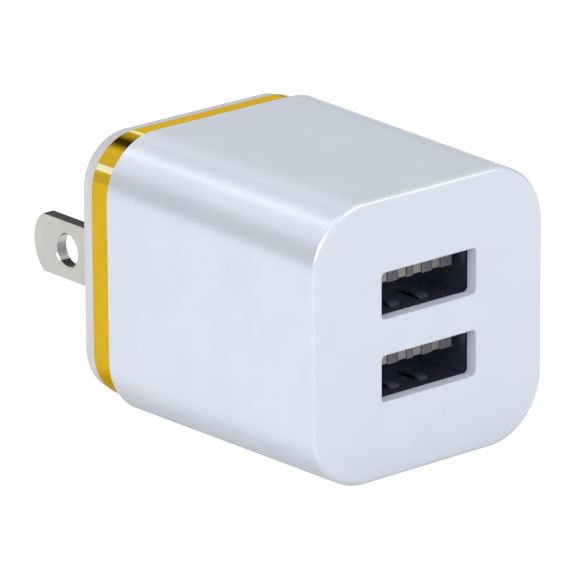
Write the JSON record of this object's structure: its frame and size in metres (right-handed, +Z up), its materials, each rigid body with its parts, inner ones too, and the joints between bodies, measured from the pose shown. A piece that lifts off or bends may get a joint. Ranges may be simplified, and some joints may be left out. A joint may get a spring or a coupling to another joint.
{
  "type": "usb wall charger",
  "caption": "Cube wall charger with stacked USB-A ports, white drafted housing, gold trim ring, rear cap and fixed flat blades with holes.",
  "frame": {"origin": "on the rear face that meets the wall, midway between the two blades", "axes": "+Y into the wall along the blades, +Z up, +X to the right for someone who faces the ports"},
  "size_m": [0.0308, 0.0548, 0.0298],
  "materials": {
    "housing_plastic": "satin pearl white, moulded",
    "gold_plating": "mirror gold plating",
    "cap_plastic": "satin moulded white",
    "nickel_plate": "fine-brushed nickel plate",
    "shell_steel": "tin-plated sheet, dull inside",
    "insulator_plastic": "moulded thermoplastic",
    "contact_gold": "flash gold plate",
    "board_laminate": "solder-masked glass laminate",
    "solder": "bright solder",
    "chip_plastic": "moulded epoxy",
    "chip_ceramic": "fired ceramic",
    "wire_insulation": "soft insulation",
    "copper": "tinned copper strand",
    "resistor_coating": "matt fireproof coating",
    "can_aluminium": "drawn aluminium",
    "sleeve_film": "shrunk film sleeve",
    "bung_rubber": "pressed rubber",
    "tinned_wire": "tinned wire",
    "disc_coating": "dipped epoxy",
    "ferrite": "ground ferrite",
    "bobbin_plastic": "moulded phenolic",
    "enamelled_copper": "enamelled wire",
    "polyester_tape": "polyester tape"
  },
  "bodies": {
    "charger": {"housing": "housing_plastic", "trim_ring": "gold_plating", "rear_cap": "cap_plastic", "blade_left": "nickel_plate", "blade_right": "nickel_plate", "upper_shell": "shell_steel", "upper_insulator": "insulator_plastic", "lower_shell": "shell_steel", "lower_insulator": "insulator_plastic", "usb_board": "board_laminate", "usb_board_solder": "solder", "charge_control_chip": "chip_plastic", "main_board": "board_laminate", "main_board_solder": "solder", "board_joint_solder": "solder", "wire_jacket_left": "wire_insulation", "wire_jacket_right": "wire_insulation", "wire_cores": "copper", "blade_solder": "solder", "fusible_resistor": "resistor_coating", "bridge_rectifier": "chip_plastic", "controller_chip": "chip_plastic", "output_diode": "chip_plastic", "chip_resistors": "chip_plastic", "chip_capacitors": "chip_ceramic", "input_capacitor_front": "can_aluminium", "input_sleeve_front": "sleeve_film", "input_capacitor_rear": "can_aluminium", "input_sleeve_rear": "sleeve_film", "output_capacitor_left": "can_aluminium", "output_sleeve_left": "sleeve_film", "output_capacitor_right": "can_aluminium", "output_sleeve_right": "sleeve_film", "capacitor_bungs": "bung_rubber", "capacitor_leads": "tinned_wire", "safety_capacitor": "disc_coating", "safety_capacitor_leads": "tinned_wire", "core_upper": "ferrite", "core_lower": "ferrite", "bobbin": "bobbin_plastic", "winding": "enamelled_copper", "core_tape": "polyester_tape", "bobbin_pins": "tinned_wire", "upper_tails": "contact_gold", "lower_tails": "contact_gold"},
    "upper_contact_set": {"upper_contacts": "contact_gold"},
    "lower_contact_set": {"lower_contacts": "contact_gold"}
  },
  "joints": [
    {"name": "upper_contact_flex", "type": "hinge", "parent": "charger", "child": "upper_contact_set", "pos_m": [0, -0.02765, 0.00743], "axis": [-1, 0, 0], "range_deg": [0, 4.5], "stiffness_Nm_per_rad": 0.05},
    {"name": "lower_contact_flex", "type": "hinge", "parent": "charger", "child": "lower_contact_set", "pos_m": [0, -0.02765, -0.00117], "axis": [-1, 0, 0], "range_deg": [0, 4.5], "stiffness_Nm_per_rad": 0.05}
  ]
}
